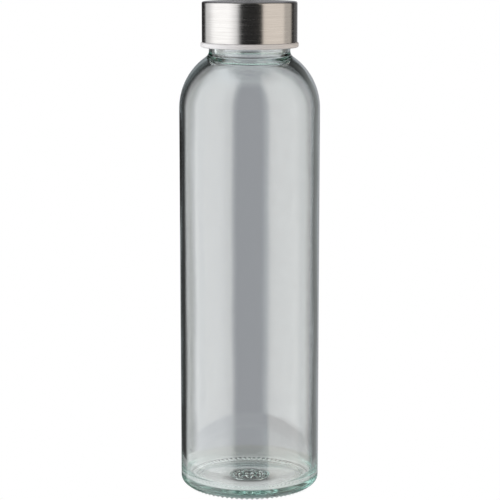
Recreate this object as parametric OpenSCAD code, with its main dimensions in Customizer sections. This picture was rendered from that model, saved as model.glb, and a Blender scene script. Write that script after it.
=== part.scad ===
// Glass water bottle with a screw cap: a drawn steel shell over a threaded plastic liner,
// closed on the glass rim by a silicone ring.
// Millimetres. The origin is the centre of the base where it stands, and +Z runs up the axis.

/* [Body] */
// Outer diameter of the glass body
body_d = 64; // [63:0.5:66]
// Height of the capped bottle
total_h = 224; // [190:1:260]
// Radius of the shoulder's outer curve
shoulder_r = 28.3; // [27.5:0.1:29]
// Radius of the shoulder's inner curve
inner_shoulder_r = 25.2; // [24.6:0.1:25.8]
// Distance of the inner curve's centre below the outer one's
inner_drop = 0.9; // [0:0.1:1.4]
// Thickness of the side wall
wall_t = 2.4; // [1.8:0.1:3]

/* [Base] */
// Outer diameter of the bearing ring that the bottle stands on
bearing_d = 58; // [57:0.5:59]
// Width of the bearing ring
bearing_w = 2.4; // [2:0.1:5]
// Radius of the heel, where the wall turns into the base
heel_r = 3.7; // [3:0.1:4]
// Height of the heel curve's centre
heel_z = 4.2; // [4:0.1:6]
// Height of the hollow under the base, at its centre
pushup_h = 2.2; // [1:0.1:3]
// Height of the inside floor at its lowest, next to its rounded corner
floor_z = 3.4; // [3.2:0.1:6]
// Rise of the inside floor towards its centre
floor_dome = 1; // [0.5:0.1:2]
// Radius of the inside corner between floor and wall
floor_corner_r = 6.5; // [4:0.1:9]

/* [Neck] */
// Outer diameter of the neck, under its thread
neck_d = 36.9; // [35:0.1:37]
// Diameter of the mouth
mouth_d = 30.7; // [28:0.1:31]
// Radius of the outer curve from shoulder to neck
neck_fillet_r = 3; // [2:0.1:4]
// Radius of the inner curve from shoulder to mouth
mouth_fillet_r = 1.5; // [1:0.1:5]
// Height of the straight neck, up to the rim
finish_h = 18.8; // [18:0.1:20]
// Radius of the rim's two edges
rim_r = 1.1; // [0.5:0.1:1.4]

/* [Thread] */
// Rise of the thread in one turn
thread_lead = 4.23; // [4:0.01:4.5]
// Turns of thread on the glass and in the liner
thread_turns = 1.5; // [1:0.25:1.75]
// Height of the glass thread above the neck
thread_h = 1.05; // [0.8:0.05:1.2]
// Width of a thread's crest
crest_w = 0.9; // [0.6:0.1:1.1]
// Width of a thread at its foot
foot_w = 2.2; // [1.8:0.1:2.4]
// Depth from the rim to the middle of the glass thread's upper end
thread_drop = 2.3; // [2:0.1:3]
// Distance of the liner's thread below the glass thread that holds it down
thread_offset = 1.55; // [1.5:0.05:1.9]

/* [Cap] */
// Outer diameter of the steel shell
cap_d = 43.2; // [43:0.1:45]
// Height of the whole cap, liner flange included
cap_h = 20.5; // [20:0.1:21]
// Thickness of the shell's sheet
shell_t = 0.5; // [0.3:0.05:0.8]
// Outer radius of the shell's top edge
shell_edge_r = 0.8; // [0.8:0.1:1.6]
// Diameter of the liner's flange, which shows under the shell
flange_d = 44.4; // [43.5:0.1:46]
// Height of the liner's flange
flange_h = 2.35; // [2:0.05:3]
// Radius of the flange's two edges
flange_edge_r = 0.8; // [0.4:0.1:0.9]
// Inner diameter of the liner, between its threads
liner_bore_d = 39.7; // [39.6:0.1:40]
// Inner diameter over the liner's thread
liner_thread_d = 37.8; // [37.6:0.1:38.4]
// Thickness of the liner's top
liner_top_t = 1.4; // [1:0.1:1.8]
// Radius of the liner's outer top edge
liner_edge_r = 1.4; // [1:0.1:1.8]

/* [Seal] */
// Thickness of the silicone ring
seal_t = 1.6; // [1:0.1:2]
// Outer diameter of the silicone ring
seal_d = 39.2; // [38.6:0.1:39.4]
// Diameter of the hole in the silicone ring
seal_hole_d = 30; // [29:0.1:30.5]

/* [Hidden] */

glass_colour = [0.80, 0.90, 0.86, 0.45];
silicone_colour = [0.90, 0.90, 0.88];
liner_colour = [0.88, 0.87, 0.88];
steel_colour = [0.72, 0.72, 0.71];

arc_step = 5;        // degrees between the points of an arc
thread_step = 12;    // degrees between the rings of a thread
thread_run = 40;     // degrees over which a thread rises to full height
thread_root = 0.4;   // how far a thread's foot is sunk into its wall
min_share = 0.05;    // share of its height that a thread keeps at its very end
heel_from = -62;     // angle at which the heel's curve leaves the bearing ring's bevel
dome_points = 6;     // points along each dome of the base
bearing_rise = 0.4;  // height and width of the bevel inside the bearing ring

body_r = body_d / 2;
bearing_r = bearing_d / 2;
bearing_in_r = bearing_r - bearing_w;
neck_r = neck_d / 2;
mouth_r = mouth_d / 2;
cap_r = cap_d / 2;
shell_in_r = cap_r - shell_t;
flange_r = flange_d / 2;
liner_bore_r = liner_bore_d / 2;
inner_r = body_r - wall_t;

// Heights, from the top of the cap down
shell_in_z = total_h - shell_t;
liner_in_z = shell_in_z - liner_top_t;
rim_z = liner_in_z - seal_t;
neck_z = rim_z - finish_h;
flange_z = total_h - cap_h;
flange_top_z = flange_z + flange_h;
thread_z = rim_z - thread_drop - thread_lead * thread_turns;

// Each shoulder curve touches the curve that leads it into the neck or the mouth,
// so their two centres lie in line with the point where they touch
shoulder_x = body_r - shoulder_r;
neck_curve = [neck_r + neck_fillet_r - shoulder_x, shoulder_r + neck_fillet_r];
neck_angle = acos(neck_curve[0] / neck_curve[1]);
shoulder_z = neck_z - neck_curve[1] * sin(neck_angle);
inner_x = inner_r - inner_shoulder_r;
inner_z = shoulder_z - inner_drop;
mouth_curve = [mouth_r + mouth_fillet_r - inner_x, inner_shoulder_r + mouth_fillet_r];
mouth_angle = acos(mouth_curve[0] / mouth_curve[1]);
mouth_z = inner_z + mouth_curve[1] * sin(mouth_angle);
floor_r = inner_r - floor_corner_r;

// Points of an arc about the centre c, from angle a to angle b, both ends included
function arc(c, r, a, b) =
    let (n = max(1, ceil(abs(b - a) / arc_step)))
    [for (i = [0:n]) let (t = a + (b - a) * i / n) c + r * [cos(t), sin(t)]];

// Height of a dome of the given radius and rise, at the distance r from the axis
function dome(r, radius, rise) = rise * (1 - pow(r / radius, 2));

function glass_outline() = concat(
    [[bearing_in_r, 0], [bearing_r, 0]],
    arc([body_r - heel_r, heel_z], heel_r, heel_from, 0),
    arc([shoulder_x, shoulder_z], shoulder_r, 0, neck_angle),
    arc([neck_r + neck_fillet_r, neck_z], neck_fillet_r, 180 + neck_angle, 180),
    arc([neck_r - rim_r, rim_z - rim_r], rim_r, 0, 90),
    arc([mouth_r + rim_r, rim_z - rim_r], rim_r, 90, 180),
    arc([mouth_r + mouth_fillet_r, mouth_z], mouth_fillet_r, 180, 180 + mouth_angle),
    arc([inner_x, inner_z], inner_shoulder_r, mouth_angle, 0),
    arc([floor_r, floor_z + floor_corner_r], floor_corner_r, 0, -90),
    [for (i = [dome_points - 1:-1:0])
        let (r = floor_r * i / dome_points) [r, floor_z + dome(r, floor_r, floor_dome)]],
    [for (i = [0:dome_points])
        let (r = (bearing_in_r - bearing_rise) * i / dome_points)
        [r, bearing_rise + dome(r, bearing_in_r - bearing_rise, pushup_h - bearing_rise)]]);

function liner_outline() = concat(
    [[liner_bore_r, flange_z]],
    arc([flange_r - flange_edge_r, flange_z + flange_edge_r], flange_edge_r, -90, 0),
    arc([flange_r - flange_edge_r, flange_top_z - flange_edge_r], flange_edge_r, 0, 90),
    [[shell_in_r, flange_top_z]],
    arc([shell_in_r - liner_edge_r, shell_in_z - liner_edge_r], liner_edge_r, 0, 90),
    [[0, shell_in_z], [0, liner_in_z], [liner_bore_r, liner_in_z]]);

function shell_outline() = concat(
    [[shell_in_r, flange_top_z], [cap_r, flange_top_z]],
    arc([cap_r - shell_edge_r, total_h - shell_edge_r], shell_edge_r, 0, 90),
    [[0, total_h], [0, shell_in_z]],
    arc([cap_r - shell_edge_r, total_h - shell_edge_r], shell_edge_r - shell_t, 90, 0));

// Section of a thread at one angle: foot and crest radius, in the order that turns its faces outwards
function thread_section(foot, crest, share) =
    let (tip = foot + (crest - foot) * share)
    let (w = foot_w + (crest_w - foot_w) * share)
    let (side = sign(crest - foot))
    [[foot, -side * foot_w / 2], [tip, -side * w / 2], [tip, side * w / 2], [foot, side * foot_w / 2]];

// One turn-and-rise ridge, from the height z at the angle 0 upwards, tapered at both ends
module thread(foot, crest, z) {
    sweep_a = 360 * thread_turns;
    n = round(sweep_a / thread_step);
    points = [for (i = [0:n])
        let (a = i * thread_step)
        let (share = max(min_share, min(1, a / thread_run, (sweep_a - a) / thread_run)))
        for (p = thread_section(foot, crest, share))
            [p[0] * cos(a), p[0] * sin(a), z + p[1] + thread_lead * a / 360]];
    sides = [for (i = [0:n - 1]) for (j = [0:3])
        let (k = (j + 1) % 4, here = 4 * i, next = 4 * i + 4)
        each [[here + j, here + k, next + j], [here + k, next + k, next + j]]];
    ends = [[3, 2, 1, 0], [4 * n, 4 * n + 1, 4 * n + 2, 4 * n + 3]];
    polyhedron(points = points, faces = concat(sides, ends));
}

module glass_bottle() {
    color(glass_colour)
        union() {
            rotate_extrude($fn = 96)
                polygon(glass_outline());
            thread(neck_r - thread_root, neck_r + thread_h, thread_z);
        }
}

module seal_ring() {
    color(silicone_colour)
        translate([0, 0, rim_z])
            difference() {
                cylinder(d = seal_d, h = seal_t, $fn = 96);
                translate([0, 0, -1])
                    cylinder(d = seal_hole_d, h = seal_t + 2, $fn = 96);
            }
}

module cap_liner() {
    color(liner_colour)
        union() {
            rotate_extrude($fn = 96)
                polygon(liner_outline());
            thread(liner_bore_r + thread_root, liner_thread_d / 2, thread_z - thread_offset);
        }
}

module cap_shell() {
    color(steel_colour)
        rotate_extrude($fn = 96)
            polygon(shell_outline());
}

glass_bottle();
seal_ring();
cap_liner();
cap_shell();
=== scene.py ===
# Glass water bottle with a brushed steel screw cap. Blender units are metres, in the CAD frame.
import math

import bpy
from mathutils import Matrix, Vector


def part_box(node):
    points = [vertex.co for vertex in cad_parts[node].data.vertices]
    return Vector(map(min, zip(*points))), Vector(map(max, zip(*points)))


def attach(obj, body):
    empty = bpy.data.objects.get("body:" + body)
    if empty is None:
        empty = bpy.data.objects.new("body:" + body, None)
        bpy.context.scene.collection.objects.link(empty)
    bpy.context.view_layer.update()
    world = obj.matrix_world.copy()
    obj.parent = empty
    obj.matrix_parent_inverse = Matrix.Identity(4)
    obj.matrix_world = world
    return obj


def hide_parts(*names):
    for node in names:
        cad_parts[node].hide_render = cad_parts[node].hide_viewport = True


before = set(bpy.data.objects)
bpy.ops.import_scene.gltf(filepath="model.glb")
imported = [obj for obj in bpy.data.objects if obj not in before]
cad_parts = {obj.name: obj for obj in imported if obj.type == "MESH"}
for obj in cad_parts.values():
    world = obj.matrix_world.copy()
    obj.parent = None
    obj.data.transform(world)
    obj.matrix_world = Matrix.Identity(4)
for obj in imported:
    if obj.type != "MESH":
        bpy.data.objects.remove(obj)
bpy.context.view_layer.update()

MM = 0.001

# ---------------------------------------------------------------- sizes taken from the frame

glass_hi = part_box("glass_bottle")[1]
seal_lo, seal_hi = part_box("seal_ring")
liner_lo, liner_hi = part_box("cap_liner")
shell_lo, shell_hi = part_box("cap_shell")

BODY_R = glass_hi.x
RIM_Z = glass_hi.z
CAP_R = shell_hi.x
CAP_TOP = shell_hi.z
FLANGE_R = liner_hi.x
FLANGE_Z = liner_lo.z
FLANGE_TOP = shell_lo.z

# ---------------------------------------------------------------- driving dimensions

# The glass body: shoulder, wall and base
SHOULDER_R = 28.3 * MM
WALL = 2.4 * MM
INNER_SHOULDER_R = 25.2 * MM
INNER_SHOULDER_DROP = 0.9 * MM
BEARING_R = 29.0 * MM
BEARING_W = 2.4 * MM
BEARING_RISE = 0.4 * MM
HEEL_R = 3.7 * MM
HEEL_Z = 4.2 * MM
HEEL_FROM = -62    # degrees, where the heel's curve leaves the bevel of the bearing ring
PUSHUP_H = 2.2 * MM
FLOOR_Z = 3.4 * MM
FLOOR_DOME = 1.0 * MM
FLOOR_CORNER_R = 6.5 * MM

# The neck
NECK_R = 18.45 * MM
MOUTH_R = 15.35 * MM
NECK_FILLET_R = 3.0 * MM
MOUTH_FILLET_R = 1.5 * MM
FINISH_H = 18.8 * MM
RIM_EDGE_R = 1.1 * MM

# The thread: its rise in a turn, its height, its upper end's depth below the rim, how far below it the
# liner's thread starts, half the width of its crest and of its foot, and the degrees in which it rises
THREAD_LEAD = 4.23 * MM
THREAD_TURNS = 1.5
THREAD_H = 1.05 * MM
THREAD_DROP = 2.3 * MM
THREAD_OFFSET = 1.55 * MM
THREAD_CREST = 0.45 * MM
THREAD_FOOT = 1.1 * MM
THREAD_RUN = 40

# The cap and its seal
SHELL_T = 0.5 * MM
SHELL_EDGE_R = 0.8 * MM
FLANGE_EDGE_R = 0.8 * MM
LINER_BORE_R = 19.85 * MM
LINER_TOP_T = 1.4 * MM
LINER_EDGE_R = 1.4 * MM
LINER_LIP_R = 0.3 * MM
LINER_THREAD_H = 0.95 * MM
SHELL_LIP_R = 0.12 * MM
SEAL_HOLE_R = 15.0 * MM
SEAL_EDGE_R = 0.35 * MM

# The ribs across the bearing ring: their number, depth and width, and the widths of their two soft ends
KNURLS = 78
KNURL_DEPTH = 0.8 * MM
KNURL_W = 1.6 * MM
KNURL_INNER_END = 0.7 * MM
KNURL_OUTER_END = 1.2 * MM
KNURL_TOP = 1.5 * MM

# The mark under the base: its radius, the spacing of the mesh there, its depth, its rings, its number of
# dots and the radius that they lie on. A line has a half width and a dot a radius, both with a soft slope.
MARK_R = 10 * MM
MARK_GRID = 0.4 * MM
MARK_DEPTH = 0.9 * MM
MARK_RINGS = (2.8 * MM, 8.2 * MM)
MARK_DOTS = 8
MARK_DOTS_R = 5.5 * MM
MARK_LINE = 0.72 * MM
MARK_LINE_SLOPE = 0.45 * MM
MARK_DOT = 1.2 * MM
MARK_DOT_SLOPE = 0.6 * MM

# The uneven inside of the blown wall: size and depth of its waves, and the heights over which they fade
WAVE_SIZE = 34 * MM
WAVE_DEPTH = 0.5 * MM
WAVE_FROM = 1 * MM
WAVE_FADE_LOW = 12 * MM
WAVE_FADE_HIGH = 10 * MM

GLASS_STEPS = 5 * KNURLS
LINER_STEPS = 288
WELD = 0.002 * MM

NECK_Z = RIM_Z - FINISH_H
INNER_R = BODY_R - WALL
SHOULDER_X = BODY_R - SHOULDER_R
THREAD_Z = RIM_Z - THREAD_DROP - THREAD_LEAD * THREAD_TURNS

# The shoulder's curve and the neck's fillet touch, so their centres lie in line with the touching point
NECK_ANGLE = math.acos((NECK_R + NECK_FILLET_R - SHOULDER_X) / (SHOULDER_R + NECK_FILLET_R))
SHOULDER_Z = NECK_Z - (SHOULDER_R + NECK_FILLET_R) * math.sin(NECK_ANGLE)


# ---------------------------------------------------------------- outlines, as points (r, z)

def arc(x, z, r, start, end, step=3.0):
    """Points of an arc about (x, z), from one angle to another in degrees."""
    n = max(1, math.ceil(abs(end - start) / step))
    angles = [math.radians(start + (end - start) * i / n) for i in range(n + 1)]
    return [(x + r * math.cos(a), z + r * math.sin(a)) for a in angles]


def line(a, b, step):
    """Points strictly between a and b, about a step apart."""
    n = max(1, round(math.dist(a, b) / step))
    return [(a[0] + (b[0] - a[0]) * i / n, a[1] + (b[1] - a[1]) * i / n) for i in range(1, n)]


def dome(r, radius, rise):
    """Height of a shallow dome at the distance r from its middle."""
    return rise * (1 - (r / radius) ** 2)


def path(*stretches, step):
    """Joins stretches of points, filling the straight gap before each with points a step apart."""
    points = list(stretches[0])
    for stretch in stretches[1:]:
        points += line(points[-1], stretch[0], step) + list(stretch)
    return points


def underside_outline():
    """The hollow under the base, with close points in its middle for the mark."""
    pushup_r = BEARING_R - BEARING_W - BEARING_RISE
    fine = round(MARK_R / MARK_GRID)
    coarse = 9
    spread = [MARK_R * i / fine for i in range(fine)]
    spread += [MARK_R + (pushup_r - MARK_R) * i / coarse for i in range(coarse + 1)]
    return [(r, BEARING_RISE + dome(r, pushup_r, PUSHUP_H - BEARING_RISE)) for r in spread]


def floor_outline(floor_r):
    """The domed floor inside, from next to its corner to its middle."""
    parts = 12
    spread = [floor_r * i / parts for i in range(parts - 1, -1, -1)]
    return [(r, FLOOR_Z + dome(r, floor_r, FLOOR_DOME)) for r in spread]


def glass_outline():
    """The bottle's section, from the middle of its underside over the rim to the middle of its floor."""
    bearing = path([(BEARING_R - BEARING_W, 0)], [(BEARING_R, 0)], step=0.6 * MM)
    heel = arc(BODY_R - HEEL_R, HEEL_Z, HEEL_R, HEEL_FROM, 0, 4.5)

    neck_angle = math.degrees(NECK_ANGLE)
    shoulder = arc(SHOULDER_X, SHOULDER_Z, SHOULDER_R, 0, neck_angle)
    neck = arc(NECK_R + NECK_FILLET_R, NECK_Z, NECK_FILLET_R, 180 + neck_angle, 180, 6)
    rim = arc(NECK_R - RIM_EDGE_R, RIM_Z - RIM_EDGE_R, RIM_EDGE_R, 0, 90, 15)
    mouth = arc(MOUTH_R + RIM_EDGE_R, RIM_Z - RIM_EDGE_R, RIM_EDGE_R, 90, 180, 15)

    inner_x = INNER_R - INNER_SHOULDER_R
    inner_z = SHOULDER_Z - INNER_SHOULDER_DROP
    centre_gap = MOUTH_R + MOUTH_FILLET_R - inner_x
    mouth_angle = math.degrees(math.acos(centre_gap / (INNER_SHOULDER_R + MOUTH_FILLET_R)))
    mouth_z = inner_z + (INNER_SHOULDER_R + MOUTH_FILLET_R) * math.sin(math.radians(mouth_angle))
    throat = arc(MOUTH_R + MOUTH_FILLET_R, mouth_z, MOUTH_FILLET_R, 180, 180 + mouth_angle, 7)
    inner_shoulder = arc(inner_x, inner_z, INNER_SHOULDER_R, mouth_angle, 0)

    floor_r = INNER_R - FLOOR_CORNER_R
    slope = math.degrees(math.atan(2 * FLOOR_DOME / floor_r))
    corner = arc(floor_r, FLOOR_Z + FLOOR_CORNER_R, FLOOR_CORNER_R, 0, slope - 90, 5)

    return (underside_outline() + bearing + heel
            + line(heel[-1], shoulder[0], 9 * MM) + shoulder + neck
            + line(neck[-1], rim[0], 0.4 * MM) + rim + mouth
            + line(mouth[-1], throat[0], 3 * MM) + throat + inner_shoulder
            + line(inner_shoulder[-1], corner[0], 8 * MM) + corner + floor_outline(floor_r))


def liner_outline():
    """The threaded insert's section, from the middle of its top down its outside and up its bore."""
    shell_in_r = CAP_R - SHELL_T
    shell_in_z = CAP_TOP - SHELL_T
    liner_in_z = shell_in_z - LINER_TOP_T
    return path(
        [(0, shell_in_z)],
        arc(shell_in_r - LINER_EDGE_R, shell_in_z - LINER_EDGE_R, LINER_EDGE_R, 90, 0, 10),
        [(shell_in_r, FLANGE_TOP)],
        arc(FLANGE_R - FLANGE_EDGE_R, FLANGE_TOP - FLANGE_EDGE_R, FLANGE_EDGE_R, 90, 0, 8),
        arc(FLANGE_R - FLANGE_EDGE_R, FLANGE_Z + FLANGE_EDGE_R, FLANGE_EDGE_R, 0, -90, 8),
        arc(LINER_BORE_R + LINER_LIP_R, FLANGE_Z + LINER_LIP_R, LINER_LIP_R, 270, 180, 15),
        [(LINER_BORE_R, liner_in_z)],
        [(0, liner_in_z)],
        step=0.35 * MM)


def shell_outline():
    """The drawn steel cup's section, from the middle of its top down its outside and back up inside."""
    return path(
        [(0, CAP_TOP)],
        arc(CAP_R - SHELL_EDGE_R, CAP_TOP - SHELL_EDGE_R, SHELL_EDGE_R, 90, 0, 6),
        arc(CAP_R - SHELL_LIP_R, FLANGE_TOP + SHELL_LIP_R, SHELL_LIP_R, 0, -90, 15),
        arc(CAP_R - SHELL_T + SHELL_LIP_R, FLANGE_TOP + SHELL_LIP_R, SHELL_LIP_R, 270, 180, 15),
        arc(CAP_R - SHELL_EDGE_R, CAP_TOP - SHELL_EDGE_R, SHELL_EDGE_R - SHELL_T, 0, 90, 10),
        [(0, CAP_TOP - SHELL_T)],
        step=1.5 * MM)


def seal_outline():
    """The silicone ring's section, a closed loop with rounded edges."""
    inner_x = SEAL_HOLE_R + SEAL_EDGE_R
    outer_x = seal_hi.x - SEAL_EDGE_R
    low_z = seal_lo.z + SEAL_EDGE_R
    high_z = seal_hi.z - SEAL_EDGE_R
    corners = ((inner_x, low_z), (outer_x, low_z), (outer_x, high_z), (inner_x, high_z))
    points = []
    for i, (x, z) in enumerate(corners):
        points += arc(x, z, SEAL_EDGE_R, 180 + 90 * i, 270 + 90 * i, 15)
    return points + points[:1]


# ---------------------------------------------------------------- modelling steps

def turned(name, outline, steps=GLASS_STEPS):
    """A piece turned as on a lathe: one point drawn out along the outline, then swept round the axis."""
    bpy.ops.object.select_all(action="DESELECT")
    bpy.ops.mesh.primitive_plane_add(size=MM, location=(0, 0, 0))
    piece = bpy.context.active_object
    piece.name = name
    piece.data.name = name
    bpy.ops.object.mode_set(mode="EDIT")
    bpy.ops.mesh.select_all(action="SELECT")
    bpy.ops.mesh.merge(type="CENTER")
    bpy.ops.transform.translate(value=(outline[0][0], 0, outline[0][1]))
    for here, there in zip(outline, outline[1:]):
        move = (there[0] - here[0], 0, there[1] - here[1])
        bpy.ops.mesh.extrude_region_move(TRANSFORM_OT_translate={"value": move})
    bpy.ops.object.mode_set(mode="OBJECT")
    turn = piece.modifiers.new("turn", "SCREW")
    turn.angle = math.tau
    turn.steps = steps
    turn.render_steps = steps
    turn.use_merge_vertices = True
    turn.merge_threshold = WELD
    bpy.ops.object.modifier_apply(modifier=turn.name)
    bpy.ops.object.mode_set(mode="EDIT")
    bpy.ops.mesh.select_all(action="SELECT")
    bpy.ops.mesh.remove_doubles(threshold=WELD)
    bpy.ops.mesh.normals_make_consistent(inside=False)
    bpy.ops.object.mode_set(mode="OBJECT")
    return piece


def weight(piece, name, share):
    """A vertex group whose weight at each point is share(x, y, z), left out where it is zero."""
    group = piece.vertex_groups.new(name=name)
    for vertex in piece.data.vertices:
        value = share(*vertex.co)
        if value > 0:
            group.add([vertex.index], min(value, 1.0), "REPLACE")


def push(piece, group, strength, direction="NORMAL", texture=None):
    """Moves the weighted points with a Displace modifier and applies it."""
    modifier = piece.modifiers.new(group, "DISPLACE")
    modifier.vertex_group = group
    modifier.direction = direction
    modifier.strength = strength
    modifier.mid_level = 0.5 if texture else 0.0
    modifier.texture_coords = "LOCAL"
    modifier.texture = texture
    bpy.ops.object.select_all(action="DESELECT")
    bpy.context.view_layer.objects.active = piece
    piece.select_set(True)
    bpy.ops.object.modifier_apply(modifier=modifier.name)
    piece.vertex_groups.remove(piece.vertex_groups[group])


def smooth(piece, angle=35):
    """Smooth shading, with edges sharper than the angle kept crisp."""
    bpy.ops.object.select_all(action="DESELECT")
    bpy.context.view_layer.objects.active = piece
    piece.select_set(True)
    bpy.ops.object.shade_smooth_by_angle(angle=math.radians(angle))


def ease(value):
    """A soft step from 0 to 1."""
    value = max(0.0, min(1.0, value))
    return value * value * (3 - 2 * value)


def on_thread(x, y, z, start_z):
    """Share of its full height that the thread has at a point: a ridge that climbs with the angle."""
    angle = math.degrees(math.atan2(y, x)) % 360
    best = 0.0
    for turn in range(math.ceil(THREAD_TURNS) + 1):
        along = angle + 360 * turn
        if 0 <= along <= 360 * THREAD_TURNS:
            away = abs(z - start_z - THREAD_LEAD * along / 360)
            side = ease((THREAD_FOOT - away) / (THREAD_FOOT - THREAD_CREST))
            end = ease(min(along, 360 * THREAD_TURNS - along) / THREAD_RUN)
            best = max(best, side * end)
    return best


# ---------------------------------------------------------------- materials

def linear(hex_colour):
    """An sRGB hex colour as linear RGBA."""
    channels = [int(hex_colour[i:i + 2], 16) / 255 for i in (1, 3, 5)]
    return [c / 12.92 if c <= 0.04045 else ((c + 0.055) / 1.055) ** 2.4 for c in channels] + [1.0]


def add(tree, kind, settings=None, **links):
    """Adds a node, sets its properties or sockets, and links its named inputs."""
    node = tree.nodes.new(kind)
    for key, value in (settings or {}).items():
        if isinstance(key, str) and hasattr(node, key):
            setattr(node, key, value)
        else:
            node.inputs[key].default_value = value
    for key, socket in links.items():
        name = int(key[1:]) if key[0] == "_" else key.replace("_", " ")
        tree.links.new(socket, node.inputs[name])
    return node


def new_material(name):
    material = bpy.data.materials.new(name)
    material.use_nodes = True
    material.node_tree.nodes.clear()
    return material, material.node_tree


def finish_material(tree, surface, volume=None):
    output = add(tree, "ShaderNodeOutputMaterial", Surface=surface)
    if volume:
        tree.links.new(volume, output.inputs["Volume"])


def container_glass():
    """Soda-lime container glass, blown in a mould: clear, with a slow ripple.

    It is faintly green where it is thick. The ribs that it stands on are frosted by the mould and by use,
    and pick up the light of the table.
    """
    material, tree = new_material("soda_lime_glass")
    place = add(tree, "ShaderNodeTexCoord").outputs["Object"]
    ripple = add(tree, "ShaderNodeTexNoise", {"Scale": 1 / (14 * MM), "Detail": 1.0}, Vector=place)
    bump = add(tree, "ShaderNodeBump", {"Strength": 0.25, "Distance": 0.05 * MM}, Height=ripple.outputs[0])
    height = add(tree, "ShaderNodeSeparateXYZ", Vector=place).outputs[2]
    frost = add(tree, "ShaderNodeMapRange",
                {"interpolation_type": "SMOOTHSTEP", "From Min": 1.3 * MM, "From Max": 0.5 * MM,
                 "To Min": 0.0, "To Max": 0.55}, Value=height)
    glass = add(tree, "ShaderNodeBsdfPrincipled",
                {"Base Color": linear("#ffffff"), "IOR": 1.52, "Transmission Weight": 1.0},
                Roughness=frost.outputs[0], Normal=bump.outputs[0])
    tint = add(tree, "ShaderNodeVolumeAbsorption", {"Color": linear("#b5ece2"), "Density": 24.0})
    finish_material(tree, glass.outputs[0], tint.outputs[0])
    return material


def brushed_steel():
    """Stainless sheet, drawn and then brushed as it turned.

    The rings round the axis stretch each highlight upright. Real brush strokes are under 0.1 mm wide:
    these are as coarse as they need to be to show.
    """
    material, tree = new_material("brushed_stainless")
    place = add(tree, "ShaderNodeTexCoord").outputs["Object"]
    parts = add(tree, "ShaderNodeSeparateXYZ", Vector=place).outputs
    flat = add(tree, "ShaderNodeCombineXYZ", X=parts[0], Y=parts[1]).outputs[0]
    radius = add(tree, "ShaderNodeVectorMath", {"operation": "LENGTH"}, _0=flat).outputs["Value"]
    along = add(tree, "ShaderNodeMath", {"operation": "SUBTRACT"}, _0=parts[2], _1=radius).outputs[0]
    strokes = []
    for ring, sweep in ((0.55 * MM, 25 * MM), (0.2 * MM, 9 * MM)):
        stretched = add(tree, "ShaderNodeCombineXYZ")
        for socket, source, size in ((0, parts[0], sweep), (1, parts[1], sweep), (2, along, ring)):
            scaled = add(tree, "ShaderNodeMath", {"operation": "DIVIDE", 1: size}, _0=source)
            tree.links.new(scaled.outputs[0], stretched.inputs[socket])
        stroke = add(tree, "ShaderNodeTexNoise", {"Scale": 1.0, "Detail": 2.0}, Vector=stretched.outputs[0])
        strokes.append(stroke.outputs[0])
    both = add(tree, "ShaderNodeMath", {"operation": "ADD"}, _0=strokes[0], _1=strokes[1]).outputs[0]
    rough = add(tree, "ShaderNodeMapRange",
                {"From Min": 0.7, "From Max": 1.3, "To Min": 0.19, "To Max": 0.28}, Value=both)
    tone = add(tree, "ShaderNodeMapRange", {"From Min": 0.7, "From Max": 1.3}, Value=both)
    colour = add(tree, "ShaderNodeMix", {"data_type": "RGBA", 6: linear("#9c9a98"), 7: linear("#a8a6a4")},
                 _0=tone.outputs[0])
    bump = add(tree, "ShaderNodeBump", {"Strength": 0.12, "Distance": 0.01 * MM}, Height=both)
    tangent = add(tree, "ShaderNodeTangent", {"direction_type": "RADIAL", "axis": "Z"})
    steel = add(tree, "ShaderNodeBsdfPrincipled",
                {"Metallic": 1.0, "Anisotropic": 0.8, "Anisotropic Rotation": 0.25},
                Base_Color=colour.outputs[2], Roughness=rough.outputs[0], Normal=bump.outputs[0],
                Tangent=tangent.outputs[0])
    finish_material(tree, steel.outputs[0])
    return material


def liner_plastic():
    """Injection-moulded polypropylene: milky, slightly translucent, with a satin mould finish."""
    material, tree = new_material("moulded_polypropylene")
    place = add(tree, "ShaderNodeTexCoord").outputs["Object"]
    grain = add(tree, "ShaderNodeTexNoise", {"Scale": 1 / (0.8 * MM), "Detail": 3.0}, Vector=place)
    tone = add(tree, "ShaderNodeMix", {"data_type": "RGBA", 6: linear("#b9b7b8"), 7: linear("#c2c0c0")},
               _0=grain.outputs[0])
    rough = add(tree, "ShaderNodeMapRange", {"To Min": 0.3, "To Max": 0.45}, Value=grain.outputs[0])
    bump = add(tree, "ShaderNodeBump", {"Strength": 0.15, "Distance": 0.02 * MM}, Height=grain.outputs[0])
    plastic = add(tree, "ShaderNodeBsdfPrincipled",
                  {"IOR": 1.49, "Subsurface Weight": 0.2, "Subsurface Scale": 1.0 * MM,
                   "Subsurface Radius": (1.0, 1.0, 1.0)},
                  Base_Color=tone.outputs[2], Roughness=rough.outputs[0], Normal=bump.outputs[0])
    finish_material(tree, plastic.outputs[0])
    return material


def silicone():
    """Food-grade silicone rubber: off-white, soft matte."""
    material, tree = new_material("silicone_rubber")
    place = add(tree, "ShaderNodeTexCoord").outputs["Object"]
    cloud = add(tree, "ShaderNodeTexNoise", {"Scale": 1 / (2 * MM), "Detail": 4.0}, Vector=place)
    tone = add(tree, "ShaderNodeMix", {"data_type": "RGBA", 6: linear("#dedcd6"), 7: linear("#e8e6e1")},
               _0=cloud.outputs[0])
    bump = add(tree, "ShaderNodeBump", {"Strength": 0.2, "Distance": 0.02 * MM}, Height=cloud.outputs[0])
    rubber = add(tree, "ShaderNodeBsdfPrincipled",
                 {"Roughness": 0.6, "IOR": 1.41, "Subsurface Weight": 0.2, "Subsurface Scale": 1.0 * MM},
                 Base_Color=tone.outputs[2], Normal=bump.outputs[0])
    finish_material(tree, rubber.outputs[0])
    return material


def dress(piece, material, body, node):
    """Gives a new piece its material and its body, and hides the CAD node that it stands for."""
    piece.data.materials.clear()
    piece.data.materials.append(material)
    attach(piece, body)
    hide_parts(node)


# ---------------------------------------------------------------- the glass

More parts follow.
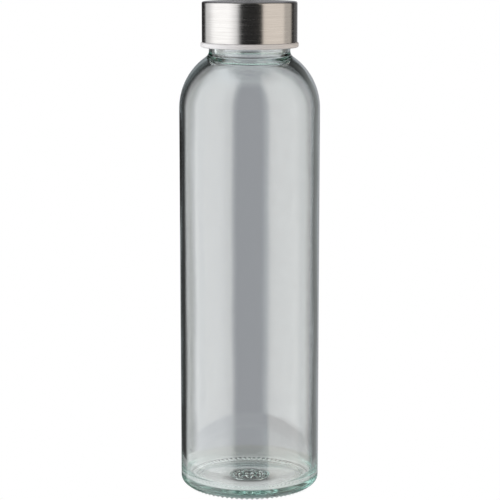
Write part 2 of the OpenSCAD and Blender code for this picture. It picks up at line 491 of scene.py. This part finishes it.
def glass_thread(x, y, z):
    """The ridge, on the outside of the neck only."""
    outside = math.hypot(x, y) > (NECK_R + MOUTH_R) / 2 and NECK_Z < z < RIM_Z - RIM_EDGE_R
    return on_thread(x, y, z, THREAD_Z) if outside else 0


def knurl(x, y, z):
    """Grooves across the bearing ring, one between each two ribs."""
    if z > KNURL_TOP:
        return 0
    r = math.hypot(x, y)
    inner = (r - (BEARING_R - KNURL_W)) / KNURL_INNER_END
    outer = (BEARING_R + KNURL_W - r) / KNURL_OUTER_END
    return ease(min(inner, outer)) * (1 - math.cos(KNURLS * math.atan2(y, x))) / 2


def mould_mark(x, y, z):
    """A generic mark under the base: two rings, a centre dot and eight dots between the rings."""
    r = math.hypot(x, y)
    if z > (PUSHUP_H + FLOOR_Z) / 2 or r > MARK_R:
        return 0
    sector = math.tau / MARK_DOTS
    turn = round(math.atan2(y, x) / sector) * sector
    from_dot = math.dist((x, y), (MARK_DOTS_R * math.cos(turn), MARK_DOTS_R * math.sin(turn)))
    lines = [ease((MARK_LINE - abs(r - ring_r)) / MARK_LINE_SLOPE) for ring_r in MARK_RINGS]
    dots = [ease((MARK_DOT - away) / MARK_DOT_SLOPE) for away in (from_dot, r)]
    return max(lines + dots)


def inside_wall(x, y, z):
    """The inside of the wall between floor and neck, fading out towards both."""
    r = math.hypot(x, y)
    above_floor = z - FLOOR_Z - WAVE_FROM
    if z > NECK_Z or above_floor < 0:
        return 0
    half_wall = WALL / 2
    reach = SHOULDER_R - half_wall
    up = max(0, z - SHOULDER_Z)
    half_way_out = SHOULDER_X + math.sqrt(max(0, reach ** 2 - up ** 2))
    if r > min(half_way_out, INNER_R + half_wall):
        return 0
    return ease((NECK_Z - z) / WAVE_FADE_HIGH) * ease(above_floor / WAVE_FADE_LOW)


def make_glass():
    glass = turned("glass_bottle_blown", glass_outline())
    weight(glass, "thread", glass_thread)
    push(glass, "thread", THREAD_H)
    weight(glass, "knurl", knurl)
    push(glass, "knurl", KNURL_DEPTH, "Z")
    weight(glass, "mould_mark", mould_mark)
    push(glass, "mould_mark", -MARK_DEPTH, "Z")

    waves = bpy.data.textures.new("blown_wall", "CLOUDS")
    waves.noise_scale = WAVE_SIZE
    waves.noise_depth = 1
    weight(glass, "inside", inside_wall)
    push(glass, "inside", WAVE_DEPTH, "NORMAL", waves)
    smooth(glass, angle=50)
    dress(glass, container_glass(), "bottle", "glass_bottle")


# ---------------------------------------------------------------- the cap

def liner_thread(x, y, z):
    """The ridge, on the bore of the liner only."""
    in_bore = math.hypot(x, y) < LINER_BORE_R + LINER_LIP_R and FLANGE_Z + LINER_LIP_R < z < RIM_Z
    return on_thread(x, y, z, THREAD_Z - THREAD_OFFSET) if in_bore else 0


def make_liner():
    liner = turned("cap_liner_moulded", liner_outline(), LINER_STEPS)
    weight(liner, "thread", liner_thread)
    push(liner, "thread", LINER_THREAD_H)
    smooth(liner)
    dress(liner, liner_plastic(), "cap", "cap_liner")


def make_shell():
    shell = turned("cap_shell_brushed", shell_outline())
    smooth(shell)
    dress(shell, brushed_steel(), "cap", "cap_shell")


def make_seal():
    seal = turned("seal_ring_silicone", seal_outline())
    smooth(seal)
    dress(seal, silicone(), "seal", "seal_ring")


make_glass()
make_liner()
make_shell()
make_seal()

# ---------------------------------------------------------------- stage: floor, studio light, camera

SWEEP_R = 6.0

CAMERA_BACK = 0.8327
CAMERA_HEIGHT = 0.2547
CAMERA_ASIDE = 0.18 * MM
CAMERA_PITCH = 9.832
CAMERA_LENS = 132.05

# The patch of table under the bottle, painted light on an emitting disc: brightness in the middle (a
# painted shadow), round the foot (a painted ring of light) and outside, and the radii between which one
# turns into the next
PATCH_R = 60 * MM
PATCH_DROP = 0.1 * MM
PATCH_PAINTED_SHADOW = 0.16
PATCH_PAINTED_RING = 0.62
PATCH_OUTSIDE = 0.33
PATCH_INNER_EDGE = (6 * MM, 16 * MM)
PATCH_OUTER_EDGE = (30 * MM, 38 * MM)

# Light cards round the bottle, each with its azimuth (middle, half width, softness), its elevation
# (lowest, highest, softness), its strength and its colour. Degrees from the front, right and up.
CARDS = (
    ("left_wide", (-79, 53, 14), (-60, 84, 14), 1.45, "#fdfeff"),
    ("left_hot", (-72, 34, 34), (-60, 84, 14), 1.2, "#ffffff"),
    ("right", (62, 30, 8), (-60, 84, 14), 0.75, "#f4e9dd"),
    ("right_wide", (76, 44, 8), (-60, 84, 14), 1.1, "#f4ece2"),
    ("backdrop", (174, 16, 6), (-18.2, 14, 1.6), 0.35, "#f6f6fe"),
    ("back_right", (148, 14, 8), (-40, 20, 20), 0.15, "#ffffff"),
)

# Brightness of the room, of the ceiling and of the light from below, with the elevations in degrees where
# the last two begin and the softness there, and the most that is seen straight through the glass
ROOM = 0.04
CEILING = 0.24
CEILING_FROM = 66
BELOW = 1.5
BELOW_FROM = -50
EDGE = 14
SEEN_MAX = 0.6


def grey(level):
    return (level, level, level, 1)


def rise(start, end, low=0.0, high=1.0):
    """Settings of a Map Range node that climbs softly from low to high."""
    return {"interpolation_type": "SMOOTHSTEP",
            "From Min": start, "From Max": end, "To Min": low, "To Max": high}


def edge(middle, soft):
    """The same, from 0 to 1 about a middle."""
    return rise(middle - soft / 2, middle + soft / 2)


def stage_disc(name, radius, drop, material):
    """A disc that lights or backs the view, without shadows or reflections."""
    bpy.ops.object.select_all(action="DESELECT")
    bpy.ops.mesh.primitive_circle_add(vertices=64, radius=radius, fill_type="NGON", location=(0, 0, -drop))
    disc = bpy.context.active_object
    disc.name = name
    disc.data.materials.append(material)
    disc.visible_glossy = False
    disc.visible_diffuse = False
    disc.visible_shadow = False
    return disc


def make_floor():
    """The plain white floor, which only the camera sees."""
    material, tree = new_material("white_sweep")
    emission = add(tree, "ShaderNodeEmission", {"Color": grey(1), "Strength": 1.0})
    finish_material(tree, emission.outputs[0])
    floor = stage_disc("floor", SWEEP_R, 0, material)
    floor.visible_transmission = False


def make_painted_light_patch():
    """The patch of table that the glass sees, with painted light: a painted shadow in the middle, a painted
    ring of light round the foot, dimmer outside.
    """
    material, tree = new_material("painted_light_table")
    place = add(tree, "ShaderNodeTexCoord").outputs["Object"]
    radius = add(tree, "ShaderNodeVectorMath", {"operation": "LENGTH"}, _0=place).outputs["Value"]
    # A painted shadow under the bottle, rising to a painted ring of light round its foot, then falling to
    # the plain table
    to_painted_ring = rise(*PATCH_INNER_EDGE, PATCH_PAINTED_SHADOW, PATCH_PAINTED_RING)
    ring_to_outside = rise(*PATCH_OUTER_EDGE, 0.0, PATCH_PAINTED_RING - PATCH_OUTSIDE)
    inner = add(tree, "ShaderNodeMapRange", to_painted_ring, Value=radius).outputs[0]
    outer = add(tree, "ShaderNodeMapRange", ring_to_outside, Value=radius).outputs[0]
    strength = add(tree, "ShaderNodeMath", {"operation": "SUBTRACT"}, _0=inner, _1=outer).outputs[0]
    emission = add(tree, "ShaderNodeEmission", {"Color": grey(1)}, Strength=strength)
    finish_material(tree, emission.outputs[0])
    patch = stage_disc("painted_light_patch", PATCH_R, PATCH_DROP, material)
    patch.visible_camera = False


def sky_angles(tree):
    """Azimuth and elevation of the view into the studio, in degrees."""
    direction = add(tree, "ShaderNodeTexCoord").outputs["Generated"]
    parts = add(tree, "ShaderNodeSeparateXYZ", Vector=direction).outputs
    towards = add(tree, "ShaderNodeMath", {"operation": "MULTIPLY", 1: -1.0}, _0=parts[1]).outputs[0]
    turned_by = add(tree, "ShaderNodeMath", {"operation": "ARCTAN2"}, _0=parts[0], _1=towards).outputs[0]
    raised_by = add(tree, "ShaderNodeMath", {"operation": "ARCSINE"}, _0=parts[2]).outputs[0]
    azimuth = add(tree, "ShaderNodeMath", {"operation": "DEGREES"}, _0=turned_by).outputs[0]
    elevation = add(tree, "ShaderNodeMath", {"operation": "DEGREES"}, _0=raised_by).outputs[0]
    return azimuth, elevation


def on_card(tree, azimuth, elevation, across, upright):
    """1 on a card, 0 off it, with soft edges. Azimuths wrap round at 180."""
    middle, half, side_soft = across
    low, high, end_soft = upright
    away = add(tree, "ShaderNodeMath", {"operation": "SUBTRACT", 1: middle}, _0=azimuth).outputs[0]
    wrapped = add(tree, "ShaderNodeMath", {"operation": "WRAP", 1: 180.0, 2: -180.0}, _0=away).outputs[0]
    distance = add(tree, "ShaderNodeMath", {"operation": "ABSOLUTE"}, _0=wrapped).outputs[0]
    beside = add(tree, "ShaderNodeMapRange", edge(half, side_soft), Value=distance).outputs[0]
    within = add(tree, "ShaderNodeMath", {"operation": "SUBTRACT", 0: 1.0}, _1=beside).outputs[0]
    above_low = add(tree, "ShaderNodeMapRange", edge(low, end_soft), Value=elevation).outputs[0]
    above_high = add(tree, "ShaderNodeMapRange", edge(high, end_soft), Value=elevation).outputs[0]
    between = add(tree, "ShaderNodeMath", {"operation": "SUBTRACT"}, _0=above_low, _1=above_high).outputs[0]
    return add(tree, "ShaderNodeMath", {"operation": "MULTIPLY"}, _0=within, _1=between).outputs[0]


def dim_straight_view(tree, ray, light):
    """Limits what is seen straight through the glass, with no reflection on the way.

    It stays darker than the white behind the bottle, so that the body shows from every side.
    """
    no_mirror = add(tree, "ShaderNodeMath", {"operation": "LESS_THAN", 1: 0.5}, _0=ray["Glossy Depth"])
    straight = add(tree, "ShaderNodeMath", {"operation": "MULTIPLY"},
                   _0=ray["Is Transmission Ray"], _1=no_mirror.outputs[0])
    return add(tree, "ShaderNodeMix", {"data_type": "RGBA", "blend_type": "DARKEN", 7: grey(SEEN_MAX)},
               _0=straight.outputs[0], _6=light).outputs[2]


def make_studio():
    """Soft light cards in a dark room for glass and steel to pick up, and plain white for the camera."""
    world = bpy.data.worlds.new("soft_studio")
    bpy.context.scene.world = world
    world.use_nodes = True
    tree = world.node_tree
    tree.nodes.clear()
    azimuth, elevation = sky_angles(tree)
    light = add(tree, "ShaderNodeMix", {"data_type": "RGBA", 0: 0.0, 6: grey(ROOM)}).outputs[2]
    for name, across, upright, strength, colour in CARDS:
        card = on_card(tree, azimuth, elevation, across, upright)
        glow = [strength * channel for channel in linear(colour)[:3]] + [1]
        settings = {"label": name, "data_type": "RGBA", "blend_type": "ADD", 7: glow}
        light = add(tree, "ShaderNodeMix", settings, _0=card, _6=light).outputs[2]
    above = add(tree, "ShaderNodeMapRange", edge(CEILING_FROM, EDGE), Value=elevation).outputs[0]
    light = add(tree, "ShaderNodeMix", {"data_type": "RGBA", 7: grey(CEILING)},
                _0=above, _6=light).outputs[2]
    not_below = add(tree, "ShaderNodeMapRange", edge(BELOW_FROM, EDGE), Value=elevation).outputs[0]
    light = add(tree, "ShaderNodeMix", {"data_type": "RGBA", 6: grey(BELOW)},
                _0=not_below, _7=light).outputs[2]
    ray = add(tree, "ShaderNodeLightPath").outputs
    light = dim_straight_view(tree, ray, light)
    shown = add(tree, "ShaderNodeMix", {"data_type": "RGBA", 7: grey(1)}, _0=ray["Is Camera Ray"], _6=light)
    background = add(tree, "ShaderNodeBackground", {"Strength": 1.0}, Color=shown.outputs[2])
    add(tree, "ShaderNodeOutputWorld", Surface=background.outputs[0])


def make_camera():
    bpy.ops.object.camera_add(location=(CAMERA_ASIDE, -CAMERA_BACK, CAMERA_HEIGHT),
                              rotation=(math.radians(90 - CAMERA_PITCH), 0, 0))
    camera = bpy.context.active_object
    camera.data.lens = CAMERA_LENS
    camera.data.sensor_width = 36
    camera.data.clip_start = 0.05
    camera.data.clip_end = 50
    bpy.context.scene.camera = camera


make_floor()
make_painted_light_patch()
make_studio()
make_camera()

scene = bpy.context.scene
scene.view_settings.view_transform = "Standard"
scene.view_settings.look = "None"
scene.cycles.use_denoising = True
scene.cycles.max_bounces = 24
scene.cycles.transmission_bounces = 24
scene.cycles.glossy_bounces = 12
